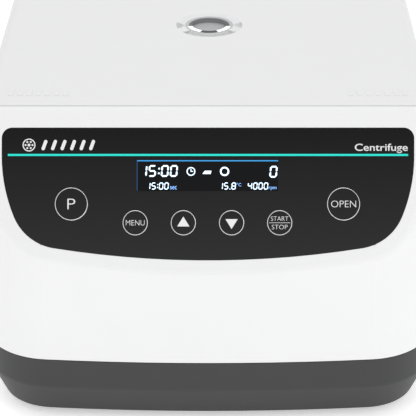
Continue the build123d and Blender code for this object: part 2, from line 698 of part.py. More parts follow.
with BuildPart() as display_glass:
    with BuildSketch(slope.offset(-PANEL_T)):
        with Locations((DISPLAY_U, -DISPLAY_V)):
            Rectangle(DISPLAY_W, DISPLAY_H)
    extrude(amount=PANEL_T)
save(display_glass.part, "display_glass")
MODULE_TOP, MODULE_T, MODULE_DISH = PANEL_T + 0.1, 5.0, 0.4
with BuildPart() as display_module:
    with BuildSketch(slope.offset(-MODULE_TOP)):
        with Locations((DISPLAY_U, -DISPLAY_V)):
            Rectangle(DISPLAY_W + 8, DISPLAY_H + 3)
    extrude(amount=-MODULE_T)
    with BuildSketch(slope.offset(-MODULE_TOP)):
        with Locations((DISPLAY_U, -DISPLAY_V)):
            Rectangle(DISPLAY_W - 2, DISPLAY_H - 2)
    extrude(amount=-MODULE_DISH, mode=Mode.SUBTRACT)
save(display_module.part, "display_module")

with BuildPart() as keypad_board:
    with BuildSketch(slope.offset(-PCB_DEPTH - 1.6)) as board:
        with Locations((0, -BOARD_V)):
            RectangleRounded(BOARD_W, BOARD_H, 3.0)
            with GridLocations(BOARD_W - 10, BOARD_H - 8, 2, 2):
                Circle(1.6, mode=Mode.SUBTRACT)
    extrude(amount=1.6)
save(keypad_board.part, "keypad_board")
with BuildPart() as key_switches:
    for u, v, radius in KEYS.values():
        with BuildSketch(slope.offset(-PCB_DEPTH)):
            with Locations((u, -v)):
                Rectangle(7.0, 7.0)
        extrude(amount=1.2)
        with BuildSketch(slope.offset(-PCB_DEPTH + 1.2)):
            with Locations((u, -v)):
                Circle(2.0)
        extrude(amount=0.5)
save(key_switches.part, "key_switches")
with BuildPart() as board_standoffs:
    with BuildSketch(slope.offset(-PCB_DEPTH)):
        with Locations((0, -BOARD_V)):
            with GridLocations(BOARD_W - 10, BOARD_H - 8, 2, 2):
                Circle(4.0)
                Circle(1.5, mode=Mode.SUBTRACT)
    extrude(amount=PCB_DEPTH - WALL)
save(board_standoffs.part, "board_standoffs")
board_corners = [(u, v) for u in (-129.0, 129.0) for v in (BOARD_V - 34, BOARD_V + 34)]
screw_places += [on_slope(u, v, -PCB_DEPTH - 1.6) * Location((0, 0, 0), FACE_DOWN) for u, v in board_corners]

# ---- Lid: shell with the hinge barrel, liner, window, striker, bumpers ----
WINDOW_R = 28.4
LENS_R = 17.4
SLEEVE_R = 20.6
LINER_T = 2.5
LID_SCREWS = [(x, y) for x in (-162.0, 162.0) for y in (-130.0, 20.0, 150.0)]
LID_SCREWS += [(-70.0, -138.0), (70.0, -138.0)]
STRIKER_SCREWS = [(x, STRIKER_Y + 1) for x in (-12.0, 12.0)]
with BuildPart() as side_cut:
    hinge_rod(LID_REAR_R, FAR)
    block((-FAR, FAR), (HINGE_Y, FAR), (0, FAR))
    block((-BARREL_HALF, BARREL_HALF), (0, FAR), (0, FAR), Mode.SUBTRACT)
inner_lid = column(LID_BOTTOM_Z - 1, TOP_Z - WALL, WALL)
LINER_REAR_Y = HINGE_Y - LID_REAR_R - 2
with BuildPart() as lid_inside:
    add(inner_lid)
    block((-FAR, FAR), (LID_FRONT_Y + WALL, LINER_REAR_Y), (0, FAR), Mode.INTERSECT)
PIN_CLEAR_R = HINGE_PIN_R + RUNNING

with BuildPart() as lid_shell:
    add(outer)
    block((-FAR, FAR), (LID_FRONT_Y, HINGE_Y), (LID_BOTTOM_Z, FAR), Mode.INTERSECT)
    add(side_cut.part, mode=Mode.SUBTRACT)
    front_top = lid_shell.edges().filter_by(Axis.X).sort_by(Axis.Y)[:2].sort_by(Axis.Z)[-1]
    fillet(front_top, 1.6)
    add(lid_inside.part, mode=Mode.SUBTRACT)
    hinge_rod(BARREL_R, BARREL_HALF)
    for x in (-KNUCKLE_X, KNUCKLE_X):
        hinge_rod(TROUGH_R + 1, KNUCKLE_W / 2 + KNUCKLE_GAP, x, Mode.SUBTRACT)
        hinge_rod(PIN_CLEAR_R, HINGE_PIN_L / 2 + 1, x, Mode.SUBTRACT)
    for x, y in LID_SCREWS:
        post(x, y, 4.5, LID_BOTTOM_Z + LINER_T, TOP_Z - WALL + 0.5)
        post(x, y, 1.6, LID_BOTTOM_Z, TOP_Z - WALL - 1, Mode.SUBTRACT)
    post(0, ROTOR_Y, SLEEVE_R, LID_BOTTOM_Z, TOP_Z + 5, Mode.SUBTRACT)
save(lid_shell.part, "lid_shell")

liner_column = column(LID_BOTTOM_Z, LID_BOTTOM_Z + LINER_T, WALL + 0.2)
with BuildPart() as lid_liner:
    add(liner_column)
    block((-FAR, FAR), (LID_FRONT_Y + WALL + 0.2, LINER_REAR_Y - 0.2), (0, FAR), Mode.INTERSECT)
    for x, y in LID_SCREWS + STRIKER_SCREWS:
        post(x, y, 1.7, LID_BOTTOM_Z - 1, TOP_Z, Mode.SUBTRACT)
    post(0, ROTOR_Y, LENS_R + 0.1, LID_BOTTOM_Z - 1, TOP_Z, Mode.SUBTRACT)
save(lid_liner.part, "lid_liner")
lid_screw_places = [Location((x, y, LID_BOTTOM_Z), FACE_DOWN) for x, y in LID_SCREWS]
lid_screw_places += [Location((x, y, LID_BOTTOM_Z - 2.0), FACE_DOWN) for x, y in STRIKER_SCREWS]
lid_screw = pan_screw(3.0, 1.8, 1.6, 9.0)
with BuildPart() as lid_screws:
    with Locations(*lid_screw_places):
        add(lid_screw)
save(lid_screws.part, "lid_screws")

with BuildPart() as lens:
    with BuildSketch(Plane.XY.offset(TOP_Z)):
        with Locations((0, ROTOR_Y)):
            Circle(WINDOW_R)
    extrude(amount=1.6)
    chamfer(lens.edges().group_by(Axis.Z)[-1], 1.2)
    with BuildSketch(Plane.XY.offset(TOP_Z)):
        with Locations((0, ROTOR_Y)):
            Circle(LENS_R)
    extrude(amount=-(TOP_Z - LID_BOTTOM_Z + 1.0))
save(lens.part, "window_lens")
with BuildPart() as window_sleeve:
    post(0, ROTOR_Y, SLEEVE_R - 0.1, LID_BOTTOM_Z + LINER_T, TOP_Z - 0.05)
    post(0, ROTOR_Y, LENS_R + 0.1, LID_BOTTOM_Z, TOP_Z, Mode.SUBTRACT)
save(window_sleeve.part, "window_sleeve")
with BuildPart() as window_retainer:
    post(0, ROTOR_Y, 25.0, LID_BOTTOM_Z - 2.2, LID_BOTTOM_Z)
    post(0, ROTOR_Y, LENS_R, LID_BOTTOM_Z - 3, LID_BOTTOM_Z + 1, Mode.SUBTRACT)
    chamfer(window_retainer.edges().group_by(Axis.Z)[0], 0.7)
save(window_retainer.part, "window_retainer")

STRIKER_LOW = 203.0
BOLT_Z = 212.0
with BuildPart() as lid_striker:
    block((-2.5, 2.5), (STRIKER_Y - 6.5, STRIKER_Y + 6.5), (STRIKER_LOW, LID_BOTTOM_Z))
    chamfer(lid_striker.edges().group_by(Axis.Z)[0], 1.5)
    block((-18, 18), (LID_FRONT_Y + 4.5, STRIKER_Y + 8), (LID_BOTTOM_Z - 2.0, LID_BOTTOM_Z))
    rod_x(3.6, -10, 10, STRIKER_Y, BOLT_Z, Mode.SUBTRACT)
    for x, y in STRIKER_SCREWS:
        post(x, y, 1.7, LID_BOTTOM_Z - 3, LID_BOTTOM_Z + 1, Mode.SUBTRACT)
save(lid_striker.part, "lid_striker")

with BuildPart() as hinge_pins:
    for x in (-KNUCKLE_X, KNUCKLE_X):
        hinge_rod(HINGE_PIN_R, HINGE_PIN_L / 2, x)
    chamfer(hinge_pins.edges().filter_by(GeomType.CIRCLE), 0.6)
save(hinge_pins.part, "hinge_pins")

# ---- Latch: frame, bolt, solenoid; lid switch and its plunger ----
BOLT_R = 2.5
BOLT_HOLE_R = BOLT_R + 0.4
UNDER_DECK = DECK_Z - WALL

with BuildPart() as latch_frame:
    block((-24, 24), (STRIKER_Y - 11.8, STRIKER_Y + 11.8), (BOLT_Z - 9, UNDER_DECK))
    block((-SLOT_HALF_X, SLOT_HALF_X), slot_y, (0, FAR), Mode.SUBTRACT)
    rod_x(BOLT_R + RUNNING, -30, 0, STRIKER_Y, BOLT_Z, Mode.SUBTRACT)
    rod_x(BOLT_HOLE_R, 0, 30, STRIKER_Y, BOLT_Z, Mode.SUBTRACT)
save(latch_frame.part, "latch_frame")
with BuildPart() as latch_bolt:
    rod_x(BOLT_R, -66, -7, STRIKER_Y, BOLT_Z)
    chamfer(latch_bolt.edges().filter_by(GeomType.CIRCLE).sort_by(Axis.X)[-1], 0.8)
    rod_x(4.5, -41.5, -39.5, STRIKER_Y, BOLT_Z)
save(latch_bolt.part, "latch_bolt")
with BuildPart() as latch_solenoid:
    block((-76, -43), (STRIKER_Y - 10, STRIKER_Y + 10), (BOLT_Z - 10, UNDER_DECK))
    chamfer(latch_solenoid.edges().filter_by(Axis.X), 1.0)
    rod_x(BOLT_HOLE_R, -70, -20, STRIKER_Y, BOLT_Z, Mode.SUBTRACT)
save(latch_solenoid.part, "latch_solenoid")

with BuildPart() as lid_switch:
    block((PLUNGER_X - 7, PLUNGER_X + 7), (STRIKER_Y - 5, STRIKER_Y + 5), (202, UNDER_DECK))
    post(PLUNGER_X, STRIKER_Y, 2.8, 206, FAR, Mode.SUBTRACT)
    post(PLUNGER_X, STRIKER_Y, 4.6, 212, 222, Mode.SUBTRACT)
save(lid_switch.part, "lid_switch")
with BuildPart() as lid_switch_plunger:
    post(PLUNGER_X, STRIKER_Y, 2.4, 210.0, LID_BOTTOM_Z - 0.3)
    fillet(lid_switch_plunger.edges().group_by(Axis.Z)[-1], 1.2)
    post(PLUNGER_X, STRIKER_Y, 4.2, 218.8, 220.4)
save(lid_switch_plunger.part, "lid_switch_plunger")

# ---- Electronics on the chassis ----
BOARD_T = 1.6
with BuildPart() as main_board:
    block((-138, -78), (-116, 118), (BOARD_Z, BOARD_Z + BOARD_T))
    for x, y in BOARD_POSTS:
        post(x, y, 1.6, BOARD_Z - 1, BOARD_Z + 3, Mode.SUBTRACT)
save(main_board.part, "main_board")
with BuildPart() as board_spacers:
    for x, y in BOARD_POSTS:
        post(x, y, 3.5, CHASSIS_TOP, BOARD_Z)
        post(x, y, 1.5, CHASSIS_TOP, BOARD_Z, Mode.SUBTRACT)
save(board_spacers.part, "board_spacers")
with BuildPart() as capacitors:
    for x, y in ((-122, 10), (-122, 36), (-96, 36)):
        post(x, y, 11.0, BOARD_Z + BOARD_T, BOARD_Z + 36)
    fillet(capacitors.edges().group_by(Axis.Z)[-1], 1.2)
save(capacitors.part, "capacitors")
with BuildPart() as transformer:
    with BuildSketch(Plane.XY.offset(CHASSIS_TOP)):
        with Locations((108, -60)):
            RectangleRounded(54.0, 72.0, 3.0)
    extrude(amount=46.0)
    with BuildSketch(Plane.XY.offset(CHASSIS_TOP + 46)):
        with Locations((108, -60)):
            RectangleRounded(30.0, 52.0, 6.0)
    extrude(amount=8.0)
save(transformer.part, "transformer")

# ---- Rear: mains inlet, power switch, fuse holder, fan ----
INLET_SCREW_X = 20.0
with BuildPart() as mains_inlet:
    flange_z = (ELECTRIC_Z - 12, ELECTRIC_Z + 12)
    block((INLET_X - 25, INLET_X + 25), (REAR_FLAT_Y, REAR_FLAT_Y + 2.6), flange_z)
    fillet(mains_inlet.edges().filter_by(Axis.Y), 5.0)
    body_z = (ELECTRIC_Z - 10.5, ELECTRIC_Z + 10.5)
    block((INLET_X - 14, INLET_X + 14), (REAR_FLAT_Y - 26, REAR_FLAT_Y), body_z)
    socket_z = (ELECTRIC_Z - 8.2, ELECTRIC_Z + 8.2)
    block((INLET_X - 12, INLET_X + 12), (REAR_FLAT_Y - 20, FAR), socket_z, Mode.SUBTRACT)
    for side in (-1, 1):
        rod_y(1.8, REAR_FLAT_Y - 5, FAR, INLET_X + side * INLET_SCREW_X, ELECTRIC_Z, Mode.SUBTRACT)
save(mains_inlet.part, "mains_inlet")
with BuildPart() as inlet_pins:
    for x, z in ((INLET_X - 7, ELECTRIC_Z - 2), (INLET_X, ELECTRIC_Z + 2), (INLET_X + 7, ELECTRIC_Z - 2)):
        block((x - 1, x + 1), (REAR_FLAT_Y - 20, REAR_FLAT_Y - 7), (z - 2, z + 2))
save(inlet_pins.part, "inlet_pins")
screw_places += [
    Location((INLET_X + side * INLET_SCREW_X, REAR_FLAT_Y + 2.6, ELECTRIC_Z), (-90, 0, 0)) for side in (-1, 1)
]
small_screw = pan_screw(3.2, 2.0, 1.5, 9.0)
with BuildPart() as small_screws:
    with Locations(*screw_places):
        add(small_screw)
save(small_screws.part, "small_screws")

ROCKER_PIVOT_Y = REAR_FLAT_Y - 3.0
ROCKER_TILT = 8.0
with BuildPart() as switch_frame:
    bezel_z = (ELECTRIC_Z - 16, ELECTRIC_Z + 16)
    block((SWITCH_X - 11.5, SWITCH_X + 11.5), (REAR_FLAT_Y, REAR_FLAT_Y + 1.8), bezel_z)
    fillet(switch_frame.edges().filter_by(Axis.Y), 1.5)
    body_z = (ELECTRIC_Z - 13.6, ELECTRIC_Z + 13.6)
    block((SWITCH_X - 9.6, SWITCH_X + 9.6), (REAR_FLAT_Y - 20, REAR_FLAT_Y), body_z)
    well_z = (ELECTRIC_Z - 12.2, ELECTRIC_Z + 12.2)
    block((SWITCH_X - 7.5, SWITCH_X + 7.5), (REAR_FLAT_Y - 12, FAR), well_z, Mode.SUBTRACT)
    rod_x(1.5 + RUNNING, SWITCH_X - 9, SWITCH_X + 9, ROCKER_PIVOT_Y, ELECTRIC_Z, Mode.SUBTRACT)
save(switch_frame.part, "switch_frame")
with BuildPart() as rocker:
    with BuildSketch(Plane.YZ.offset(-7.0)):
        with BuildLine():
            Polyline(
                (-3.0, -9.0),
                (-3.0, 9.0),
                (3.2, 11.2),
                (5.4, 11.2),
                (2.8, 0),
                (5.4, -11.2),
                (3.2, -11.2),
                close=True,
            )
        make_face()
    extrude(amount=14.0)
    rod_x(1.5, -8.8, 8.8, 0, 0)
rocker_place = Location((SWITCH_X, ROCKER_PIVOT_Y, ELECTRIC_Z), (-ROCKER_TILT, 0, 0))
save(rocker.part.moved(rocker_place), "power_rocker")

with BuildPart() as fuse_holder:
    rod_y(6.4, REAR_FLAT_Y - 26, REAR_FLAT_Y, FUSE_X, ELECTRIC_Z)
    rod_y(9.0, REAR_FLAT_Y, REAR_FLAT_Y + 2.0, FUSE_X, ELECTRIC_Z)
    rod_y(6.8, REAR_FLAT_Y + 2.0, REAR_FLAT_Y + 3.6, FUSE_X, ELECTRIC_Z)
    groove_z = (ELECTRIC_Z - 0.8, ELECTRIC_Z + 0.8)
    block((FUSE_X - 5, FUSE_X + 5), (REAR_FLAT_Y + 2.4, FAR), groove_z, Mode.SUBTRACT)
save(fuse_holder.part, "fuse_holder")

FAN_BACK_Y = BACK_Y - 8.0
FAN_T = 24.0
FAN_AXLE_R = 2.5
FAN_BLADES = 7
with BuildPart() as fan_frame:
    block((FAN_X - 40, FAN_X + 40), (FAN_BACK_Y - FAN_T, FAN_BACK_Y), (FAN_Z - 40, FAN_Z + 40))
    fillet(fan_frame.edges().filter_by(Axis.Y), 4.0)
    rod_y(38.0, FAN_BACK_Y - FAN_T - 1, FAN_BACK_Y + 1, FAN_X, FAN_Z, Mode.SUBTRACT)
    block((FAN_X - 39, FAN_X + 39), (FAN_BACK_Y - 3, FAN_BACK_Y), (FAN_Z - 2, FAN_Z + 2))
    block((FAN_X - 2, FAN_X + 2), (FAN_BACK_Y - 3, FAN_BACK_Y), (FAN_Z - 39, FAN_Z + 39))
    rod_y(14.0, FAN_BACK_Y - 4, FAN_BACK_Y, FAN_X, FAN_Z)
    rod_y(FAN_AXLE_R, FAN_BACK_Y - 18, FAN_BACK_Y - 3, FAN_X, FAN_Z)
save(fan_frame.part, "fan_frame")
with BuildPart() as fan_impeller:
    rod_y(16.0, FAN_BACK_Y - 22, FAN_BACK_Y - 5, FAN_X, FAN_Z)
    with Locations((FAN_X, FAN_BACK_Y - 13, FAN_Z)):
        for i in range(FAN_BLADES):
            with Locations(Location((0, 0, 0), (0, 360 / FAN_BLADES * i, 0))):
                with Locations(Location((24.5, 0, 0), (35, 0, 0))):
                    Box(21.0, 14.0, 1.8)
    rod_y(FAN_AXLE_R + RUNNING, FAN_BACK_Y - 19, FAN_BACK_Y, FAN_X, FAN_Z, Mode.SUBTRACT)
save(fan_impeller.part, "fan_impeller")
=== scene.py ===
"""Laboratory centrifuge: finishes, printed legends, lit display and studio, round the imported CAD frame.

Metres, in the CAD's own frame: +Z up, front towards -Y, origin on the table under the machine.
"""

import json
import math

import bmesh
import bpy
from mathutils import Matrix, Vector


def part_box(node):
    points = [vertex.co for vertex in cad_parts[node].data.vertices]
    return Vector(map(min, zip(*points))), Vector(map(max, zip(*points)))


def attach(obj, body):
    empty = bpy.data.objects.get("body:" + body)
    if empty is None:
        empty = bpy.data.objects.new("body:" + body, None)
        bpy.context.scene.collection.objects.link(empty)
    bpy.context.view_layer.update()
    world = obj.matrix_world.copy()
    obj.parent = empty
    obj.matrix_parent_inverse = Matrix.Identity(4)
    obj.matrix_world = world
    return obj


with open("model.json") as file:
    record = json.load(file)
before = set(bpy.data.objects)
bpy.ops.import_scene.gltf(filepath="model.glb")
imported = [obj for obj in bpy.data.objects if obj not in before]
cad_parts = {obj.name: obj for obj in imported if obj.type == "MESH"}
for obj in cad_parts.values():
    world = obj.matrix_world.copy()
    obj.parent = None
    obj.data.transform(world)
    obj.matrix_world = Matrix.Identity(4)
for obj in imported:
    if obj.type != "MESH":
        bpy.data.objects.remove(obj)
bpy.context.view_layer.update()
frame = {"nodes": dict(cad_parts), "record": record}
nodes = frame["nodes"]

MM = 0.001
SLOPE = math.radians(29.0)  # the control panel leans back this far from upright
PRINT_LIFT = 0.03 * MM
PRINT_T = 0.05 * MM

# ---- Where the control panel is, from the CAD ----
PANEL_T = 1.5 * MM  # the overlay is this thick
panel_low, panel_high = (Vector(corner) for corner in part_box("control_panel"))
panel_top = Vector((0.0, panel_high.y - PANEL_T * math.cos(SLOPE), panel_high.z))
panel_frame = Matrix.Translation(panel_top) @ Matrix.Rotation(math.pi / 2 - SLOPE, 4, "X")


def panel_place(u, v, lift=0.0):
    """The frame of a spot on the panel: u across, v down from the panel's top edge, lift off its face."""
    return panel_frame @ Matrix.Translation((u, -v, lift))


def key_centre(name):
    """(u, v) of the middle of a key's face on the panel, and its height, from its CAD mesh."""
    inverse = panel_frame.inverted()
    local = [inverse @ corner.co for corner in nodes[f"key_{name}"].data.vertices]
    top = max(point.z for point in local)
    rim = [point for point in local if point.z > top - 0.05 * MM]
    low_u, high_u = min(point.x for point in rim), max(point.x for point in rim)
    low_v, high_v = min(point.y for point in rim), max(point.y for point in rim)
    return (low_u + high_u) / 2, -(low_v + high_v) / 2, top


# ---- Materials: every one has its own grain, colour drift and sheen ----
BUMP_DEPTH = 0.2 * MM
SLOW_BY = 60.0  # the colour drift is this much coarser than the grain
EVEN = (1.0, 1.0, 1.0)


def material(name, color, roughness=0.5, metallic=0.0, grain=900.0, bump=0.05, drift=0.03,
             rough_drift=0.06, coat=0.0, stretch=EVEN):
    """A Principled material with fine grain in its height, and slow drift in its colour and roughness."""
    made = bpy.data.materials.new(name)
    made.use_nodes = True
    tree = made.node_tree
    bsdf = tree.nodes["Principled BSDF"]
    place = tree.nodes.new("ShaderNodeTexCoord")
    scale = tree.nodes.new("ShaderNodeMapping")
    scale.inputs["Scale"].default_value = stretch
    tree.links.new(place.outputs["Object"], scale.inputs["Vector"])
    fine = tree.nodes.new("ShaderNodeTexNoise")
    fine.inputs["Scale"].default_value = grain
    fine.inputs["Detail"].default_value = 4.0
    slow = tree.nodes.new("ShaderNodeTexNoise")
    slow.inputs["Scale"].default_value = grain / SLOW_BY
    slow.inputs["Detail"].default_value = 3.0
    for noise in (fine, slow):
        tree.links.new(scale.outputs["Vector"], noise.inputs["Vector"])
    mix = tree.nodes.new("ShaderNodeMix")
    mix.data_type = "RGBA"
    mix.inputs["A"].default_value = [min(1.0, c * (1 - drift)) for c in color[:3]] + [1.0]
    mix.inputs["B"].default_value = [min(1.0, c * (1 + drift)) for c in color[:3]] + [1.0]
    tree.links.new(slow.outputs["Fac"], mix.inputs["Factor"])
    tree.links.new(mix.outputs["Result"], bsdf.inputs["Base Color"])
    gloss = tree.nodes.new("ShaderNodeMapRange")
    gloss.inputs["To Min"].default_value = max(0.02, roughness - rough_drift)
    gloss.inputs["To Max"].default_value = min(1.0, roughness + rough_drift)
    tree.links.new(fine.outputs["Fac"], gloss.inputs["Value"])
    tree.links.new(gloss.outputs["Result"], bsdf.inputs["Roughness"])
    height = tree.nodes.new("ShaderNodeBump")
    height.inputs["Strength"].default_value = bump
    height.inputs["Distance"].default_value = BUMP_DEPTH
    tree.links.new(fine.outputs["Fac"], height.inputs["Height"])
    tree.links.new(height.outputs["Normal"], bsdf.inputs["Normal"])
    bsdf.inputs["Metallic"].default_value = metallic
    bsdf.inputs["Coat Weight"].default_value = coat
    bsdf.inputs["Coat Roughness"].default_value = 0.12
    return made


def shader(made):
    """A material's Principled node."""
    return made.node_tree.nodes["Principled BSDF"]


def glow(name, color, strength):
    """A lit ink, for the display's segments and lines, and for the glowing painted highlight on the window's
    rim.
    """
    made = material(name, color, roughness=0.4, grain=1500.0, bump=0.02, drift=0.02)
    bsdf = shader(made)
    bsdf.inputs["Emission Color"].default_value = (*color, 1.0)
    bsdf.inputs["Emission Strength"].default_value = strength
    return made


def clear(name, color, opacity):
    """Clear moulded plastic: it lets light straight through, and keeps its own gloss."""
    made = material(name, color, 0.03, grain=300.0, bump=0.01, drift=0.01, rough_drift=0.01)
    shader(made).inputs["Alpha"].default_value = opacity
    return made


def paint_reflection_by_height(made, low, high, low_color, high_color):
    """Lets a material's colour run between two heights of the object, as a painted reflection: the colour
    stands in for the gloss reflecting its surroundings.
    """
    tree = made.node_tree
    bsdf = shader(made)
    place = tree.nodes.new("ShaderNodeTexCoord")
    split = tree.nodes.new("ShaderNodeSeparateXYZ")
    along = tree.nodes.new("ShaderNodeMapRange")
    along.inputs["From Min"].default_value = low
    along.inputs["From Max"].default_value = high
    mix = tree.nodes.new("ShaderNodeMix")
    mix.data_type = "RGBA"
    mix.inputs["A"].default_value = (*low_color, 1.0)
    mix.inputs["B"].default_value = (*high_color, 1.0)
    tree.links.new(place.outputs["Object"], split.inputs["Vector"])
    tree.links.new(split.outputs["Z"], along.inputs["Value"])
    tree.links.new(along.outputs["Result"], mix.inputs["Factor"])
    tree.links.new(mix.outputs["Result"], bsdf.inputs["Base Color"])


# stretches of the grain, for metal that was turned, spun, drawn or laminated
BRUSHED, SPUN, DRAWN, LAMINATED = (1.0, 1.0, 0.04), (0.02, 0.02, 1.0), (1.0, 1.0, 0.2), (1.0, 1.0, 14.0)
finishes = {
    "casing_white": material("casing_white", (0.715, 0.716, 0.718), 0.45, grain=1400.0, bump=0.06,
                             drift=0.012),
    "lid_white": material("lid_white", (0.71, 0.711, 0.713), 0.48, grain=1400.0, bump=0.06, drift=0.012),
    "base_grey": material("base_grey", (0.024, 0.0242, 0.0245), 0.55, grain=1600.0, bump=0.18, drift=0.05),
    "foot_rubber": material("foot_rubber", (0.02, 0.02, 0.02), 0.8, grain=900.0, bump=0.3, drift=0.15),
    "seal_rubber": material("seal_rubber", (0.035, 0.035, 0.036), 0.6, grain=1200.0, bump=0.2, drift=0.1),
    "boot_rubber": material("boot_rubber", (0.03, 0.03, 0.03), 0.65, grain=1000.0, bump=0.2, drift=0.1),
    "mount_rubber": material("mount_rubber", (0.03, 0.03, 0.03), 0.7, grain=800.0, bump=0.25, drift=0.1),
    "screw_steel": material("screw_steel", (0.62, 0.61, 0.58), 0.28, 1.0, grain=1800.0, bump=0.08,
                            drift=0.08),
    "chassis_steel": material("chassis_steel", (0.6, 0.61, 0.62), 0.36, 1.0, grain=260.0, bump=0.06,
                              drift=0.12),
    "bowl_steel": material("bowl_steel", (0.66, 0.66, 0.66), 0.28, 1.0, grain=2200.0, bump=0.10,
                           drift=0.05, stretch=SPUN),
    "guard_steel": material("guard_steel", (0.16, 0.165, 0.17), 0.5, 0.3, grain=700.0, bump=0.12,
                            drift=0.08),
    "motor_black": material("motor_black", (0.03, 0.03, 0.033), 0.42, 0.2, grain=900.0, bump=0.12,
                            drift=0.1),
    "shaft_steel": material("shaft_steel", (0.6, 0.6, 0.6), 0.18, 1.0, grain=2400.0, bump=0.05,
                            drift=0.05, stretch=BRUSHED),
    "rotor_aluminium": material("rotor_aluminium", (0.62, 0.63, 0.64), 0.3, 1.0, grain=1600.0, bump=0.06,
                                drift=0.05),
    "bucket_aluminium": material("bucket_aluminium", (0.5, 0.51, 0.52), 0.34, 1.0, grain=1800.0,
                                 bump=0.06, drift=0.06, stretch=DRAWN),
    "panel_black": material("panel_black", (0.01, 0.01, 0.0105), 0.5, grain=2200.0, bump=0.03, drift=0.06),
    "ring_silver": material("ring_silver", (0.78, 0.78, 0.8), 0.16, 1.0, grain=1500.0, bump=0.02,
                            drift=0.03),
    "key_black": material("key_black", (0.01, 0.01, 0.0105), 0.5, grain=2200.0, bump=0.04, drift=0.06),
    "display_glass": material("display_glass", (0.003, 0.0032, 0.004), 0.35, grain=1200.0, bump=0.01,
                              drift=0.05),
    "module_black": material("module_black", (0.02, 0.02, 0.02), 0.5, grain=1200.0, bump=0.1, drift=0.1),
    "board_green": material("board_green", (0.012, 0.09, 0.035), 0.35, grain=500.0, bump=0.05, drift=0.2,
                            coat=0.4),
    "window_clear": clear("window_clear", (0.93, 0.95, 0.96), 0.05),
    "liner_grey": material("liner_grey", (0.42, 0.43, 0.44), 0.5, grain=1300.0, bump=0.1, drift=0.03),
    "fitting_black": material("fitting_black", (0.018, 0.018, 0.019), 0.42, grain=1500.0, bump=0.15,
                              drift=0.08),
    "brass_pins": material("brass_pins", (0.7, 0.55, 0.28), 0.25, 1.0, grain=1500.0, bump=0.04, drift=0.06),
    "core_dark": material("core_dark", (0.09, 0.085, 0.08), 0.5, 0.4, grain=300.0, bump=0.2, drift=0.15,
                          stretch=LAMINATED),
    "can_blue": material("can_blue", (0.012, 0.02, 0.06), 0.35, grain=900.0, bump=0.05, drift=0.08),
}
ink_white = material("ink_white", (0.70, 0.70, 0.70), 0.6, grain=2500.0, bump=0.05, drift=0.03)
ink_teal = material("ink_teal", (0.0, 0.66, 0.56), 0.6, grain=2500.0, bump=0.03, drift=0.03)
lit_white = glow("lit_white", (0.70, 0.86, 1.0), 0.75)
lit_pale = glow("lit_pale", (0.22, 0.45, 0.95), 0.6)
lit_blue = glow("lit_blue", (0.02, 0.22, 0.50), 0.55)
lit_edge = glow("lit_edge", (0.003, 0.06, 0.16), 0.5)

# painted reflection on the glossy black of the panel and keys: the colour runs lighter towards the bottom of
# the panel and darker towards the top
PAINTED_REFLECTION_BELOW, PAINTED_REFLECTION_ABOVE = (0.021, 0.021, 0.0214), (0.0055, 0.0055, 0.0057)
for dark in ("panel_black", "key_black"):
    paint_reflection_by_height(finishes[dark], panel_low.z, panel_high.z, PAINTED_REFLECTION_BELOW, PAINTED_REFLECTION_ABOVE)
    shader(finishes[dark]).inputs["Specular IOR Level"].default_value = 0.1
shader(finishes["display_glass"]).inputs["Specular IOR Level"].default_value = 0.12

record_slots = {entry["node"]: entry["material_slot"] for entry in frame["record"]["subparts"]}
for node_name, node in nodes.items():
    finish = finishes[record_slots[node_name]]
    if not node.material_slots:
        node.data.materials.append(finish)
    for held in node.material_slots:
        held.material = finish


# ---- Flat printing: outlines raised into thin ink on a face ----
def thicken(build, thickness):
    """Raises every face of a flat mesh along its own +Z, into a closed solid."""
    raised = bmesh.ops.extrude_face_region(build, geom=build.faces[:])
    moved = [item for item in raised["geom"] if isinstance(item, bmesh.types.BMVert)]
    bmesh.ops.translate(build, verts=moved, vec=(0, 0, thickness))
    bmesh.ops.recalc_face_normals(build, faces=build.faces)


def add_piece(name, build, mesh, place, finish, body):
    """Turns a finished build into a piece at place, riding on a body of the frame."""
    build.to_mesh(mesh)
    build.free()
    mesh.transform(place)
    mesh.name = name
    mesh.materials.clear()
    mesh.materials.append(finish)
    piece = bpy.data.objects.new(name, mesh)
    bpy.context.collection.objects.link(piece)
    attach(piece, body)


def ink(name, outlines, place, finish, body="casing", thickness=PRINT_T):
    """A printed piece from flat outlines, lists of (u, v) in metres, laid on place and raised."""
    mesh = bpy.data.meshes.new(name)
    build = bmesh.new()
    for outline in outlines:
        corners = [build.verts.new((x, y, 0.0)) for x, y in outline]
        build.faces.new(corners)
    bmesh.ops.recalc_face_normals(build, faces=build.faces)
    for face in build.faces:
        if face.normal.z < 0:
            face.normal_flip()
    thicken(build, thickness)
    add_piece(name, build, mesh, place, finish, body)


def bar(u0, v0, u1, v1):
    """A rectangle between two corners."""
    return [(u0, v0), (u1, v0), (u1, v1), (u0, v1)]


def rounded_bar(u0, v0, u1, v1, radius, steps=6):
    """A rectangle with rounded corners."""
    points = []
    for u, v, start in ((u1, v1, 0), (u0, v1, 90), (u0, v0, 180), (u1, v0, 270)):
        middle = (u - radius if u == u1 else u + radius, v - radius if v == v1 else v + radius)
        for step in range(steps + 1):
            angle = math.radians(start + 90 * step / steps)
            points.append((middle[0] + radius * math.cos(angle), middle[1] + radius * math.sin(angle)))
    return points


def circle(u, v, radius, steps=32):
    """A round dot."""
    return [
        (u + radius * math.cos(2 * math.pi * i / steps), v + radius * math.sin(2 * math.pi * i / steps))
        for i in range(steps)
    ]


def annulus(u, v, radius, width, steps=40, start=0.0, sweep=360.0):
    """A ring or an arc of one, as a row of quads."""
    quads = []
    for i in range(steps):
        a, b = (math.radians(start + sweep * (i + step) / steps) for step in (0, 1))
        inner, outer = radius - width / 2, radius + width / 2
        quads.append([
            (u + inner * math.cos(a), v + inner * math.sin(a)),
            (u + outer * math.cos(a), v + outer * math.sin(a)),
            (u + outer * math.cos(b), v + outer * math.sin(b)),
            (u + inner * math.cos(b), v + inner * math.sin(b)),
        ])
    return quads


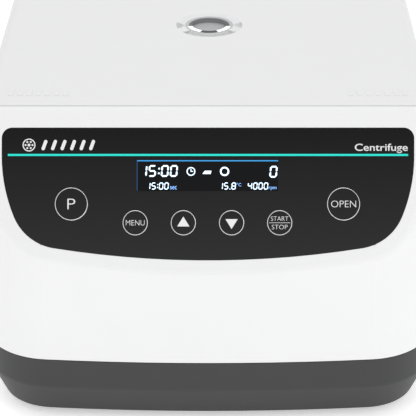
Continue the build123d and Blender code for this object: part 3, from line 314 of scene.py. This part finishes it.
def word(name, text, height, place, finish, body, width, bold=0.0):
    """A generic legend, centred on place, fitted to width by height and raised into thin ink."""
    curve = bpy.data.curves.new(name, "FONT")
    curve.body = text
    curve.size = 1.0
    curve.offset = bold
    curve.resolution_u = 6
    curve.align_x, curve.align_y = "CENTER", "CENTER"
    source = bpy.data.objects.new(name + "_source", curve)
    bpy.context.collection.objects.link(source)
    mesh = bpy.data.meshes.new_from_object(source.evaluated_get(bpy.context.evaluated_depsgraph_get()))
    bpy.data.objects.remove(source)
    xs = [v.co.x for v in mesh.vertices]
    ys = [v.co.y for v in mesh.vertices]
    tall = height / (max(ys) - min(ys))
    wide = width / (max(xs) - min(xs))
    middle = Matrix.Translation((-(max(xs) + min(xs)) / 2, -(max(ys) + min(ys)) / 2, 0))
    mesh.transform(Matrix.Diagonal((wide, tall, 1, 1)) @ middle)
    build = bmesh.new()
    build.from_mesh(mesh)
    bmesh.ops.remove_doubles(build, verts=build.verts, dist=1e-6)
    thicken(build, PRINT_T)
    add_piece(name, build, mesh, place, finish, body)


# ---- The panel's printing ----
LINE_V, LINE_W, LINE_HALF = 21.1 * MM, 1.6 * MM, 155.4 * MM
TITLE_U, TITLE_V, TITLE_W, TITLE_H = 134.6 * MM, 16.0 * MM, 41.2 * MM, 7.4 * MM
ink("panel_line", [bar(-LINE_HALF, -LINE_W / 2, LINE_HALF, LINE_W / 2)],
    panel_place(0, LINE_V, PRINT_LIFT), ink_teal)
word("panel_title", "Centrifuge", TITLE_H, panel_place(TITLE_U, TITLE_V, PRINT_LIFT), ink_white, "casing",
     TITLE_W, bold=0.01)

# a generic rotor sign, with a row of leaning tubes beside it
SIGN_R, TUBE_W, TUBE_H, TUBE_LEAN = 5.0 * MM, 2.6 * MM, 8.4 * MM, math.radians(20.0)
SIGN_RING_W, HUB_R, DOT_R, DOT_ORBIT = 0.8 * MM, 1.1 * MM, 0.75 * MM, 2.7 * MM
SIGN_U, SIGN_V, TUBE_COUNT, TUBE_FIRST, TUBE_PITCH = -139.0 * MM, 13.4 * MM, 6, 12.0 * MM, 7.4 * MM
sign = annulus(0, 0, SIGN_R - SIGN_RING_W / 2, SIGN_RING_W) + [circle(0, 0, HUB_R)]
sign += [circle(DOT_ORBIT * math.cos(math.radians(a)), DOT_ORBIT * math.sin(math.radians(a)), DOT_R)
         for a in range(0, 360, 60)]
for i in range(TUBE_COUNT):
    tube = rounded_bar(-TUBE_W / 2, -TUBE_H / 2, TUBE_W / 2, TUBE_H / 2, TUBE_W * 0.49)
    offset = TUBE_FIRST + TUBE_PITCH * i
    sign.append([(u * math.cos(TUBE_LEAN) + v * math.sin(TUBE_LEAN) + offset,
                  -u * math.sin(TUBE_LEAN) + v * math.cos(TUBE_LEAN)) for u, v in tube])
ink("panel_sign", sign, panel_place(SIGN_U, SIGN_V, PRINT_LIFT), ink_white)

# ---- Key legends, each riding on its own key ----
START_V, STOP_V, LEGEND_BOLD = -3.2 * MM, 3.3 * MM, -0.012
# each line of a legend: its text, how far it sits below the key's middle, its width and height in mm
for name, lines in (
    ("program", [("P", 0.0, 6.2, 8.2)]),
    ("open", [("OPEN", 0.0, 19.4, 5.2)]),
    ("menu", [("MENU", 0.0, 14.6, 4.1)]),
    ("start_stop", [("START", START_V, 13.6, 3.5), ("STOP", STOP_V, 12.2, 3.5)]),
):
    u, v, top = key_centre(name)
    for text, shift, width, height in lines:
        word(f"legend_{text.lower()}", text, height * MM, panel_place(u, v + shift, top + PRINT_LIFT),
             ink_white, f"key_{name}", width * MM, LEGEND_BOLD)
u, v, top = key_centre("start_stop")
RULE_HALF, RULE_T = 8.2 * MM, 0.32 * MM
ink("legend_start_stop_rule", [bar(-RULE_HALF, -RULE_T / 2, RULE_HALF, RULE_T / 2)],
    panel_place(u, v, top + PRINT_LIFT), ink_white, "key_start_stop")
ARROW_HALF, ARROW_TIP, ARROW_BASE = 4.75 * MM, 4.85 * MM, -2.85 * MM
for name, sense in (("up", 1), ("down", -1)):
    u, v, top = key_centre(name)
    arrow = [(-ARROW_HALF, ARROW_BASE * sense), (ARROW_HALF, ARROW_BASE * sense), (0, ARROW_TIP * sense)]
    ink(f"legend_{name}", [arrow], panel_place(u, v, top + PRINT_LIFT), ink_white, f"key_{name}")

# ---- The lit display ----
glass_low, glass_high = (Vector(corner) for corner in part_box("display_glass"))
DISPLAY_HALF = (glass_high.x - glass_low.x) / 2
DISPLAY_U = (glass_high.x + glass_low.x) / 2
to_panel = panel_frame.inverted()
glass_points = [to_panel @ corner.co for corner in nodes["display_glass"].data.vertices]
DISPLAY_TOP = -max(point.y for point in glass_points)

SEGMENTS = {
    "0": "abcdef", "1": "bc", "2": "abged", "3": "abgcd", "4": "fgbc",
    "5": "afgcd", "6": "afgedc", "7": "abc", "8": "abcdefg", "9": "abcdfg",
}
ITALIC = math.tan(math.radians(5.0))


def segment_digit(char, width, height, stroke):
    """One seven-segment numeral, its lower left corner at the origin."""
    gap, middle = stroke * 0.12, height / 2
    across = {"a": height - stroke / 2, "g": middle, "d": stroke / 2}
    upright = {"f": (0, middle, height), "b": (1, middle, height), "e": (0, 0, middle), "c": (1, 0, middle)}
    shapes = []
    for key in SEGMENTS[char]:
        if key in across:
            y, half = across[key], stroke / 2
            x0, x1 = half + gap, width - half - gap
            shapes.append([(x0, y), (x0 + half, y - half), (x1 - half, y - half),
                           (x1, y), (x1 - half, y + half), (x0 + half, y + half)])
        else:
            side, y0, y1 = upright[key]
            x, half = stroke / 2 + side * (width - stroke), stroke / 2
            y0 += gap + (half if y0 == 0 else 0)
            y1 -= gap + (half if y1 == height else 0)
            shapes.append([(x, y0), (x + half, y0 + half), (x + half, y1 - half),
                           (x, y1), (x - half, y1 - half), (x - half, y0 + half)])
    return shapes


def readout(text, width, height, stroke, step):
    """A row of seven-segment numerals with points and colons, leaning like a real display's."""
    shapes, x = [], 0.0
    for char in text:
        if char in ".:":
            dots = (stroke * 0.5,) if char == "." else (height * 0.3, height * 0.7)
            side = x + stroke * 0.45
            for y in dots:
                dot = bar(0, y - stroke * 0.5, stroke, y + stroke * 0.5)
                shapes.append([(u + side, v) for u, v in dot])
            x += stroke * 2.25
        else:
            shapes += [[(u + x, v) for u, v in shape] for shape in segment_digit(char, width, height, stroke)]
            x += step
    return [[(u + v * ITALIC, v) for u, v in shape] for shape in shapes]


def lit(name, shapes, u, v, finish=lit_white):
    """A lit shape on the display: u from the display's left edge, v down from its top edge."""
    place = panel_place(DISPLAY_U - DISPLAY_HALF + u, DISPLAY_TOP + v, PRINT_LIFT)
    ink(name, shapes, place, finish, "casing")


DISPLAY_W = 2 * DISPLAY_HALF
# a numeral's width, height and stroke, and the step to the next one
BIG = (5.9 * MM, 9.1 * MM, 1.25 * MM, 6.95 * MM)
SMALL = (3.45 * MM, 5.5 * MM, 0.75 * MM, 4.15 * MM)
TOP_ROW, LOW_ROW, ICONS = 12.9 * MM, 22.8 * MM, 8.7 * MM
lit("lit_top_line", [bar(0, -0.42 * MM, DISPLAY_W, 0.42 * MM)], 0, 0.42 * MM, lit_blue)
lit("lit_left_line", [bar(-0.22 * MM, -23.5 * MM, 0.22 * MM, 0)], 0.22 * MM, 0.2 * MM, lit_edge)
lit("lit_time", readout("15:00", *BIG), 1.7 * MM, TOP_ROW)
lit("lit_count", readout("0", *BIG), 102.7 * MM, TOP_ROW + 0.6 * MM)
hands = [bar(-0.3 * MM, -0.3 * MM, 0.3 * MM, 2.1 * MM), bar(0.3 * MM, -0.3 * MM, 1.7 * MM, 0.3 * MM)]
lit("lit_clock", annulus(0, 0, 3.0 * MM, 0.75 * MM) + hands, 42.0 * MM, ICONS)
wedge = [(-3.5 * MM, -1.3 * MM), (2.9 * MM, -1.3 * MM), (3.5 * MM, 1.2 * MM), (-1.6 * MM, 1.2 * MM)]
lit("lit_mode", [wedge], 54.4 * MM, 9.4 * MM)
lit("lit_ring", annulus(0, 0, 3.0 * MM, 1.2 * MM), 68.1 * MM, ICONS)
lit("lit_small_time", readout("15:00", *SMALL), 6.9 * MM, LOW_ROW)
lit("lit_celsius", readout("15.8", *SMALL), 63.2 * MM, LOW_ROW)
lit("lit_speed", readout("4000", *SMALL), 85.8 * MM, LOW_ROW)
# each unit: its name and text, then its place on the display, width and height in mm
for name, text, u, v, width, height in (
    ("sec", "sec", 28.4, 21.4, 5.2, 2.5),
    ("degree", "°C", 79.3, 19.0, 3.4, 2.6),
    ("rpm", "rpm", 105.4, 22.0, 6.0, 2.7),
):
    place = panel_place(DISPLAY_U - DISPLAY_HALF + u * MM, DISPLAY_TOP + v * MM, PRINT_LIFT)
    word(f"lit_unit_{name}", text, height * MM, place, lit_pale, "casing", width * MM)

# ---- Two rows of shallow moulded ribs near the lid's front corners ----
lid_low, lid_high = (Vector(corner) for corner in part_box("lid_shell"))
RIB_COUNT, RIB_PITCH, RIB_W, RIB_L, RIB_H = 7, 7.2 * MM, 4.4 * MM, 13.0 * MM, 0.3 * MM
ROW_FROM_EDGE, ROW_FROM_FRONT = 44.0 * MM, 24.0 * MM
for side, name in ((-1, "left"), (1, "right")):
    middle = side * (lid_high.x - ROW_FROM_EDGE)
    ribs = []
    for i in range(RIB_COUNT):
        u = (i - (RIB_COUNT - 1) / 2) * RIB_PITCH
        ribs.append(rounded_bar(u - RIB_W / 2, -RIB_L / 2, u + RIB_W / 2, RIB_L / 2, RIB_W * 0.45))
    place = Matrix.Translation((middle, lid_low.y + ROW_FROM_FRONT, lid_high.z))
    ink(f"lid_ribs_{name}", ribs, place, finishes["lid_white"], "lid", RIB_H)

# ---- The window: a dished inner pane behind the clear lens, with a glowing painted highlight on the lens's front rim ----
lens_low, lens_high = (Vector(corner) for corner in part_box("window_lens"))
sleeve_low, sleeve_high = (Vector(corner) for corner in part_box("window_sleeve"))
WINDOW_AXIS = (lens_low + lens_high) / 2
PANE_R = (sleeve_high.x - sleeve_low.x) / 2 - 3.7 * MM
PANE_DEPTH, PANE_T = 4.4 * MM, 0.4 * MM
RIM_BELOW_LENS_TOP = 1.4 * MM
well_grey = material("well_grey", (0.17, 0.172, 0.175), 0.4, grain=1400.0, bump=0.05, drift=0.05)
pane_grey = material("pane_grey", (0.36, 0.365, 0.37), 0.3, grain=1400.0, bump=0.03, drift=0.05)
# the white rim arcs glow: they are a painted highlight on the lens's front rim
rim_painted_highlight = glow("rim_painted_highlight", (0.95, 0.95, 0.95), 0.6)
rim_black = material("rim_black", (0.004, 0.004, 0.004), 0.5, grain=1400.0, bump=0.03, drift=0.05)


def window_place(height):
    """The frame of a level spot on the window's axis."""
    return Matrix.Translation((WINDOW_AXIS.x, WINDOW_AXIS.y, height))


def lathe(name, profile, place, finish, body, steps=64):
    """A turned piece from a closed (radius, height) profile."""
    mesh = bpy.data.meshes.new(name)
    build = bmesh.new()
    rings = []
    for step in range(steps):
        angle = 2 * math.pi * step / steps
        rings.append([build.verts.new((r * math.cos(angle), r * math.sin(angle), z)) for r, z in profile])
    for step in range(steps):
        here, there = rings[step], rings[(step + 1) % steps]
        for i in range(len(profile)):
            j = (i + 1) % len(profile)
            build.faces.new((here[i], there[i], there[j], here[j]))
    bmesh.ops.recalc_face_normals(build, faces=build.faces)
    add_piece(name, build, mesh, place, finish, body)


face_z = sleeve_high.z
well_inner, well_top = PANE_R - PANE_T, -0.1 * MM
lathe("window_well",
      [(well_inner, -PANE_DEPTH), (PANE_R, -PANE_DEPTH), (PANE_R, well_top), (well_inner, well_top)],
      window_place(face_z), well_grey, "lid")
ink("window_pane", [circle(0, 0, well_inner, 64)], window_place(face_z - PANE_DEPTH), pane_grey, "lid",
    PANE_T)
lathe("window_pane_step", [(9.0 * MM, 0.0), (9.6 * MM, 0.5 * MM), (12.6 * MM, 0.5 * MM), (13.2 * MM, 0.0)],
      window_place(face_z - PANE_DEPTH + PANE_T), pane_grey, "lid")
RIM_MID, RIM_WIDE, RIM_T = PANE_R + 0.2 * MM, 3.6 * MM, 0.15 * MM
# each arc of the rim: its name, where it starts and how far it runs in degrees, and its finish; the white
# left and right arcs are a painted highlight
for name, start, sweep, finish in (
    ("left", 194, 52, rim_painted_highlight), ("right", 294, 52, rim_painted_highlight), ("middle", 247, 46, rim_black),
):
    ink(f"window_rim_{name}", annulus(0, 0, RIM_MID, RIM_WIDE, 24, start, sweep),
        window_place(lens_high.z - RIM_BELOW_LENS_TOP), finish, "lid", RIM_T)

# ---- Studio: a pale floor, soft light, and a camera at the front, looking down ----
bpy.ops.mesh.primitive_plane_add(size=12.0, location=(0, 0, 0))
floor = bpy.context.object
floor.name = "floor"
floor_finish = material("floor_pale", (0.97, 0.97, 0.97), 0.9, grain=30.0, bump=0.0, drift=0.005)
floor_shader = shader(floor_finish)
floor_shader.inputs["Emission Color"].default_value = (1.0, 1.0, 1.0, 1.0)
floor_shader.inputs["Emission Strength"].default_value = 0.42
floor.data.materials.append(floor_finish)

world = bpy.data.worlds.new("studio")
bpy.context.scene.world = world
world.use_nodes = True
world.node_tree.nodes["Background"].inputs["Color"].default_value = (1.0, 1.0, 1.0, 1.0)
world.node_tree.nodes["Background"].inputs["Strength"].default_value = 0.82


def softbox(name, spot, aim, size, power):
    """A rectangular soft light at spot, pointed at aim."""
    lamp = bpy.data.lights.new(name, "AREA")
    lamp.shape = "RECTANGLE"
    lamp.size, lamp.size_y = size
    lamp.energy = power
    holder = bpy.data.objects.new(name, lamp)
    bpy.context.collection.objects.link(holder)
    holder.location = spot
    holder.rotation_euler = (Vector(aim) - Vector(spot)).to_track_quat("-Z", "Y").to_euler()


softbox("overhead", (0.0, 0.1, 2.2), (0, 0, 0.2), (2.0, 2.0), 14.0)
softbox("front_right", (1.5, -1.7, 1.1), (0, 0, 0.15), (1.0, 1.4), 7.5)
softbox("front_left", (-1.6, -1.5, 1.0), (0, 0, 0.15), (1.0, 1.4), 3.0)

camera_data = bpy.data.cameras.new("camera")
camera = bpy.data.objects.new("camera", camera_data)
bpy.context.collection.objects.link(camera)
CAMERA_PITCH = math.radians(26.6)
CAMERA_SPOT = (0.010, -1.466, 0.821)
camera_data.sensor_width = 36.0
camera_data.lens = 158.4
camera_data.shift_x = -0.0309
camera_data.clip_end = 50.0
camera.location = CAMERA_SPOT
camera.rotation_euler = (math.pi / 2 - CAMERA_PITCH, 0, 0)
bpy.context.scene.camera = camera
bpy.context.scene.view_settings.view_transform = "Standard"
